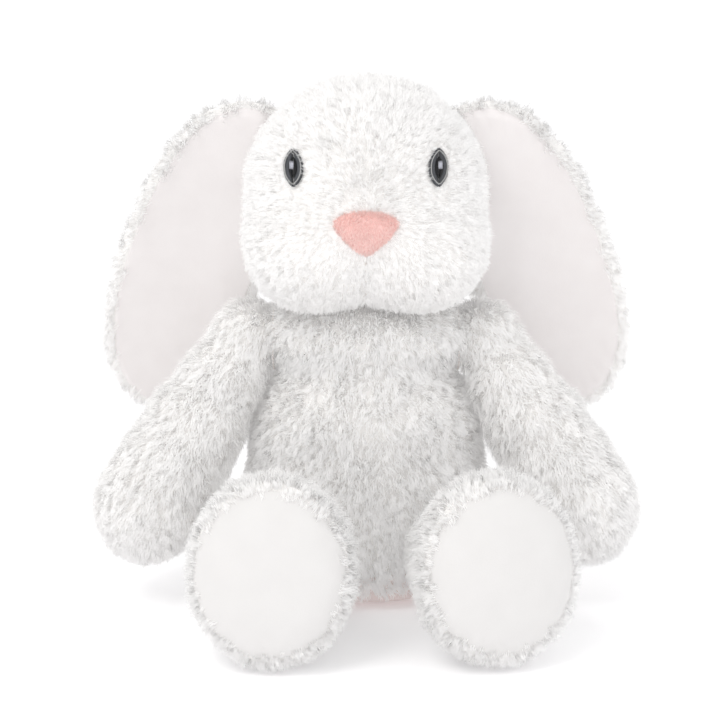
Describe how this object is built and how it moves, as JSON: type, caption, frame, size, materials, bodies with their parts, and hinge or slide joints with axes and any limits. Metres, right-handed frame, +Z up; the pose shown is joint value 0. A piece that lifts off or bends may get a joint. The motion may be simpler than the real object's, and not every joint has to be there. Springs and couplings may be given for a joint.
{
  "type": "stuffed bunny rabbit",
  "caption": "Seated white plush rabbit with long lop ears, short-pile soles and ear linings, a pink nose and embroidered eyes.",
  "frame": {"origin": "middle of the flat seat, on the surface it sits on", "axes": "+Z up, the face looks along -Y, +X towards the viewer's right, across the arms"},
  "size_m": [0.2898, 0.2304, 0.278],
  "materials": {
    "white_plush": "dense long-pile plush",
    "ear_velboa": "short-pile velboa, smooth",
    "sole_velboa": "short-pile velboa, smooth",
    "nose_velboa": "short-pile velboa, pink",
    "thread_pale": "embroidery thread, satin",
    "thread_grey": "embroidery thread, satin",
    "thread_dark": "embroidery thread, satin",
    "thread_white": "embroidery thread, satin",
    "seam_thread": "sewing thread",
    "filling": "polyester fibre filling",
    "pouch_cloth": "plain woven cotton",
    "beans": "plastic pellets"
  },
  "bodies": {
    "torso": {"body_shell": "white_plush", "body_stuffing": "filling", "seat_panel": "sole_velboa", "bean_pouch": "pouch_cloth", "bean_fill": "beans", "back_seam": "seam_thread", "tail_shell": "white_plush", "tail_stuffing": "filling"},
    "neck": {"neck_stuffing": "filling", "neck_seam": "seam_thread"},
    "head": {"head_shell": "white_plush", "head_stuffing": "filling", "nose_patch": "nose_velboa", "muzzle_seam": "seam_thread", "left_eye_outline": "thread_pale", "left_eye_iris": "thread_grey", "left_eye_pupil": "thread_dark", "left_eye_highlight": "thread_white", "right_eye_outline": "thread_pale", "right_eye_iris": "thread_grey", "right_eye_pupil": "thread_dark", "right_eye_highlight": "thread_white"},
    "left_ear": {"left_ear_back": "white_plush", "left_ear_lining": "ear_velboa", "left_ear_seam": "seam_thread"},
    "left_shoulder": {"left_shoulder_seam": "seam_thread"},
    "left_arm": {"left_arm_shell": "white_plush", "left_arm_stuffing": "filling"},
    "left_leg": {"left_leg_shell": "white_plush", "left_leg_stuffing": "filling", "left_foot_sole": "sole_velboa", "left_hip_seam": "seam_thread"},
    "right_ear": {"right_ear_back": "white_plush", "right_ear_lining": "ear_velboa", "right_ear_seam": "seam_thread"},
    "right_shoulder": {"right_shoulder_seam": "seam_thread"},
    "right_arm": {"right_arm_shell": "white_plush", "right_arm_stuffing": "filling"},
    "right_leg": {"right_leg_shell": "white_plush", "right_leg_stuffing": "filling", "right_foot_sole": "sole_velboa", "right_hip_seam": "seam_thread"}
  },
  "joints": [
    {"name": "head_turn", "type": "hinge", "parent": "torso", "child": "neck", "pos_m": [0, 0.002, 0.152], "axis": [0, 0, 1], "range_deg": [-5, 5], "stiffness_Nm_per_rad": 0.4},
    {"name": "head_nod", "type": "hinge", "parent": "neck", "child": "head", "pos_m": [0, 0.002, 0.152], "axis": [-1, 0, 0], "range_deg": [-10, 6], "stiffness_Nm_per_rad": 1.2},
    {"name": "left_ear_lift", "type": "hinge", "parent": "head", "child": "left_ear", "pos_m": [-0.054, 0.006, 0.254], "axis": [0, 1, 0], "range_deg": [0, 100], "stiffness_Nm_per_rad": 0.01},
    {"name": "left_arm_swing", "type": "hinge", "parent": "torso", "child": "left_shoulder", "pos_m": [-0.064, -0.004, 0.138], "axis": [-1, 0, 0], "range_deg": [-5, 80], "stiffness_Nm_per_rad": 0.1, "springref_deg": 2.29},
    {"name": "left_arm_lift", "type": "hinge", "parent": "left_shoulder", "child": "left_arm", "pos_m": [-0.064, -0.004, 0.138], "axis": [0, 1, 0], "range_deg": [0, 55], "stiffness_Nm_per_rad": 0.1},
    {"name": "left_leg_swing", "type": "hinge", "parent": "torso", "child": "left_leg", "pos_m": [-0.04, -0.038, 0.033], "axis": [-1, 0, 0], "range_deg": [-8, 14], "stiffness_Nm_per_rad": 0.2, "springref_deg": 5.73},
    {"name": "right_ear_lift", "type": "hinge", "parent": "head", "child": "right_ear", "pos_m": [0.054, 0.006, 0.254], "axis": [0, -1, 0], "range_deg": [0, 100], "stiffness_Nm_per_rad": 0.01},
    {"name": "right_arm_swing", "type": "hinge", "parent": "torso", "child": "right_shoulder", "pos_m": [0.064, -0.004, 0.138], "axis": [-1, 0, 0], "range_deg": [-5, 80], "stiffness_Nm_per_rad": 0.1, "springref_deg": 2.29},
    {"name": "right_arm_lift", "type": "hinge", "parent": "right_shoulder", "child": "right_arm", "pos_m": [0.064, -0.004, 0.138], "axis": [0, -1, 0], "range_deg": [0, 55], "stiffness_Nm_per_rad": 0.1},
    {"name": "right_leg_swing", "type": "hinge", "parent": "torso", "child": "right_leg", "pos_m": [0.04, -0.038, 0.033], "axis": [-1, 0, 0], "range_deg": [-8, 14], "stiffness_Nm_per_rad": 0.2, "springref_deg": 5.73}
  ]
}
